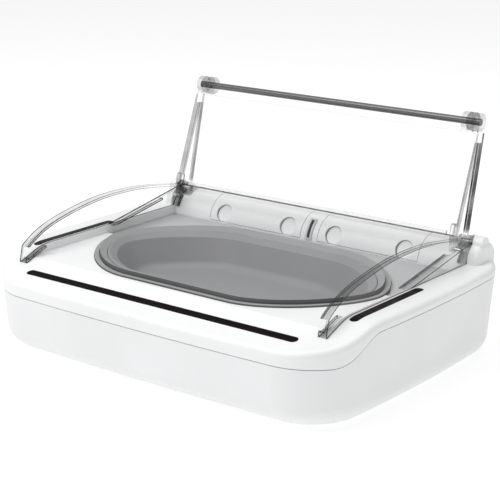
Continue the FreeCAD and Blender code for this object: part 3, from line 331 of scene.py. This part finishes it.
WHITE = (0.88, 0.885, 0.89)
WHITE_ROUGHNESS = 0.42
materials = {
    "white_body": moulded("white_body", WHITE, WHITE_ROUGHNESS),
    "sensor_filter": moulded("sensor_filter", (0.003, 0.0012, 0.001), 0.35, 800.0, 0.02, specular=0.04),
    "foot_rubber": moulded("foot_rubber", (0.03, 0.03, 0.03), 0.8, 1500.0, 0.2, 0.1, 0.2),
    "bowl_grey": moulded("bowl_grey", (0.285, 0.287, 0.293), 0.42, 2200.0, 0.05, 0.03, 0.25),
    # painted shade: the soft grey parts' upright faces keep 0.42 of their tone
    "soft_grey": moulded("soft_grey", (0.33, 0.332, 0.336), 0.7, 1400.0, 0.12, 0.04, 0.2, 0.42),
    "mat_grey": moulded("mat_grey", (0.48, 0.482, 0.49), 0.75, 1400.0, 0.15, 0.04, 0.2),
    "dark_rod": moulded("dark_rod", (0.10, 0.10, 0.105), 0.2, specular=0.9),
    "steel": metal("steel", (0.6, 0.6, 0.6), 0.3),
    "drive_plastic": moulded("drive_plastic", (0.8, 0.79, 0.75), 0.45),
    "motor_can": metal("motor_can", (0.55, 0.55, 0.56), 0.28),
    "cell_wrap": moulded("cell_wrap", (0.05, 0.06, 0.08), 0.3),
    "circuit_board": moulded("circuit_board", (0.02, 0.11, 0.05), 0.4),
    "chip_black": moulded("chip_black", (0.02, 0.02, 0.02), 0.5),
    "diode_dark": moulded("diode_dark", (0.03, 0.02, 0.04), 0.12),
    "button_grey": moulded("button_grey", (0.45, 0.45, 0.46), 0.7, 1400.0, 0.12),
    "light_pipe": moulded("light_pipe", (0.75, 0.8, 0.75), 0.15),
}


def across(start, end):
    """Unit normal of a sheet seen edge-on as a line between two (Y, Z) points."""
    length = math.dist(start, end)
    return (0.0, (start[1] - end[1]) / length, (end[0] - start[0]) / length)


# lines in (Y, Z), in metres: the two sheets seen edge-on, the shields' rib and the front panel's free edge;
# the rib and the free edge are painted as dark lines of shade
REAR_SHEET = ((0.091, 0.0804), (0.108, 0.153))
FRONT_SHEET = ((0.074, 0.0855), (0.1002, 0.1545))
SHIELD_RIB = ((-0.002, 0.0655), (0.084, 0.0805), 0.0005)
FREE_EDGE = (FRONT_SHEET[0], (0.0744, 0.0866), 0.002)
SIDEWAYS = (1.0, 0.0, 0.0)
SHIELD_LIP = (0.1286, 0.1336)
# reach and strength of the painted crease shade on the battery doors
CREASE_SHADE_WIDTH, CREASE_SHADE_DEPTH = 0.0016, 0.7

# painted shade: the battery doors' white is darkened in their own creases, such as round the dimples
door_white_crease_shade = crease_shaded(moulded("door_white_crease_shade", WHITE, WHITE_ROUGHNESS), CREASE_SHADE_WIDTH, CREASE_SHADE_DEPTH)
own_material = {
    # painted shade: the lower casing is the body's white plastic made a little darker for the shade on its
    # lower walls
    "lower_casing": moulded("tub_white_painted_shade", (0.845, 0.85, 0.856), 0.45),
    "rear_lid_panel": clear("clear_rear_panel", across(*REAR_SHEET), edges=(0.5, 1.0), edge_shade_tone=0.01,
                            faint_ends=(0.0845, 0.1545)),
    "front_lid_panel": clear("clear_front_panel", across(*FRONT_SHEET), edges=(0.55, 0.5), edge_shade_tone=0.03,
                             lines=[FREE_EDGE], faint_ends=(0.078, 0.1545)),
    "leading_edge_seal": clear("clear_seal", across(*FRONT_SHEET), 0.14, (0.8, 0.8), 0.05),
    "left_battery_door": door_white_crease_shade,
    "right_battery_door": door_white_crease_shade,
    "left_side_shield": clear("clear_left_shield", SIDEWAYS, 0.02, (1.0, 1.0), 0.015, [SHIELD_RIB],
                              SHIELD_LIP),
    "right_side_shield": clear("clear_right_shield", SIDEWAYS, 0.02, (0.85, 0.85), 0.04, [SHIELD_RIB],
                               SHIELD_LIP),
}
for row in frame["record"]["subparts"]:
    node = nodes[row["node"]]
    for slot in node.material_slots:
        slot.material = own_material.get(row["node"]) or materials[row["material_slot"]]

# ---- catch between the battery doors ----

DRUM_YZ = (0.096, 0.0585)
DRUM_R = 0.020
STEP_DEG = 3.0
CORNER_DEG = 40.0


def curved_bar(name, x, heights, degrees, bevel):
    """Closed bar bent round the drum.

    heights are its inside and outside above the drum's surface.
    degrees are measured up from straight ahead.
    """
    steps = max(2, round((degrees[1] - degrees[0]) / STEP_DEG))
    inside, outside = DRUM_R + heights[0], DRUM_R + heights[1]
    corners = ((x[0], inside), (x[1], inside), (x[1], outside), (x[0], outside))
    mesh = bmesh.new()
    rings = []
    for step in range(steps + 1):
        angle = math.radians(degrees[0] + (degrees[1] - degrees[0]) * step / steps)
        rings.append([mesh.verts.new((at, DRUM_YZ[0] - radius * math.cos(angle),
                                      DRUM_YZ[1] + radius * math.sin(angle)))
                      for at, radius in corners])
    for first, second in zip(rings, rings[1:]):
        for side in range(4):
            mesh.faces.new((first[side], first[(side + 1) % 4], second[(side + 1) % 4], second[side]))
    mesh.faces.new(rings[0][::-1])
    mesh.faces.new(rings[-1])
    bmesh.ops.recalc_face_normals(mesh, faces=mesh.faces)
    data = bpy.data.meshes.new(name)
    mesh.to_mesh(data)
    mesh.free()
    piece = bpy.data.objects.new(name, data)
    scene.collection.objects.link(piece)
    rounding = piece.modifiers.new("bevel", "BEVEL")
    rounding.width = bevel
    rounding.segments = 3
    rounding.limit_method = "ANGLE"
    rounding.angle_limit = math.radians(CORNER_DEG)
    return piece


catch_steel = moulded("catch_steel", (0.62, 0.62, 0.63), 0.35, 1600.0, 0.04, 0.03)
# painted shade: near-black tone for the slot's floor, in place of the shade inside the slot
catch_painted_shade = moulded("catch_painted_shade", (0.05, 0.05, 0.052), 0.5, 1600.0, 0.05, 0.05, 0.2)
LEAF_X, SLOT_X = 0.0028, 0.0012
LOW_DEG, SLOT_DEG, HIGH_DEG = 8.6, (12.0, 52.0), 56.0
UNDER, SLOT_TOP, BRIDGE_TOP, LEAF_TOP = 0.00005, 0.0002, 0.0008, 0.0009
STEEL_BEVEL, SLOT_BEVEL = 0.0002, 0.00004
catch_pieces = [
    ("catch_left_leaf", (-LEAF_X, -SLOT_X), LEAF_TOP, (LOW_DEG, HIGH_DEG)),
    ("catch_right_leaf", (SLOT_X, LEAF_X), LEAF_TOP, (LOW_DEG, HIGH_DEG)),
    ("catch_lower_bridge", (-SLOT_X, SLOT_X), BRIDGE_TOP, (LOW_DEG, SLOT_DEG[0])),
    ("catch_upper_bridge", (-SLOT_X, SLOT_X), BRIDGE_TOP, (SLOT_DEG[1], HIGH_DEG)),
    # the slot piece is painted dark for the shade in the slot
    ("catch_slot_shade", (-SLOT_X, SLOT_X), SLOT_TOP, SLOT_DEG),
]
for name, x, top, degrees in catch_pieces:
    is_slot = name == "catch_slot_shade"
    piece = curved_bar(name, x, (UNDER, top), degrees, SLOT_BEVEL if is_slot else STEEL_BEVEL)
    piece.data.materials.append(catch_painted_shade if is_slot else catch_steel)
    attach(piece, "root")
    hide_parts("door_catch")

# ---- floor ----

FLOOR_SIDE = 8.0
FLOOR_GLOW = 0.66           # keeps the floor nearly white under soft light

bpy.ops.mesh.primitive_plane_add(size=FLOOR_SIDE, location=(0, 0, 0))
floor = bpy.context.object
floor.name = "floor"
floor_paint = moulded("floor", (0.45, 0.45, 0.45), 0.9, 300.0, 0.0, 0.004, 0.0)
floor_shader = floor_paint.node_tree.nodes["Principled BSDF"]
floor_shader.inputs["Emission Color"].default_value = (1, 1, 1, 1)
floor_shader.inputs["Emission Strength"].default_value = FLOOR_GLOW
floor.data.materials.append(floor_paint)
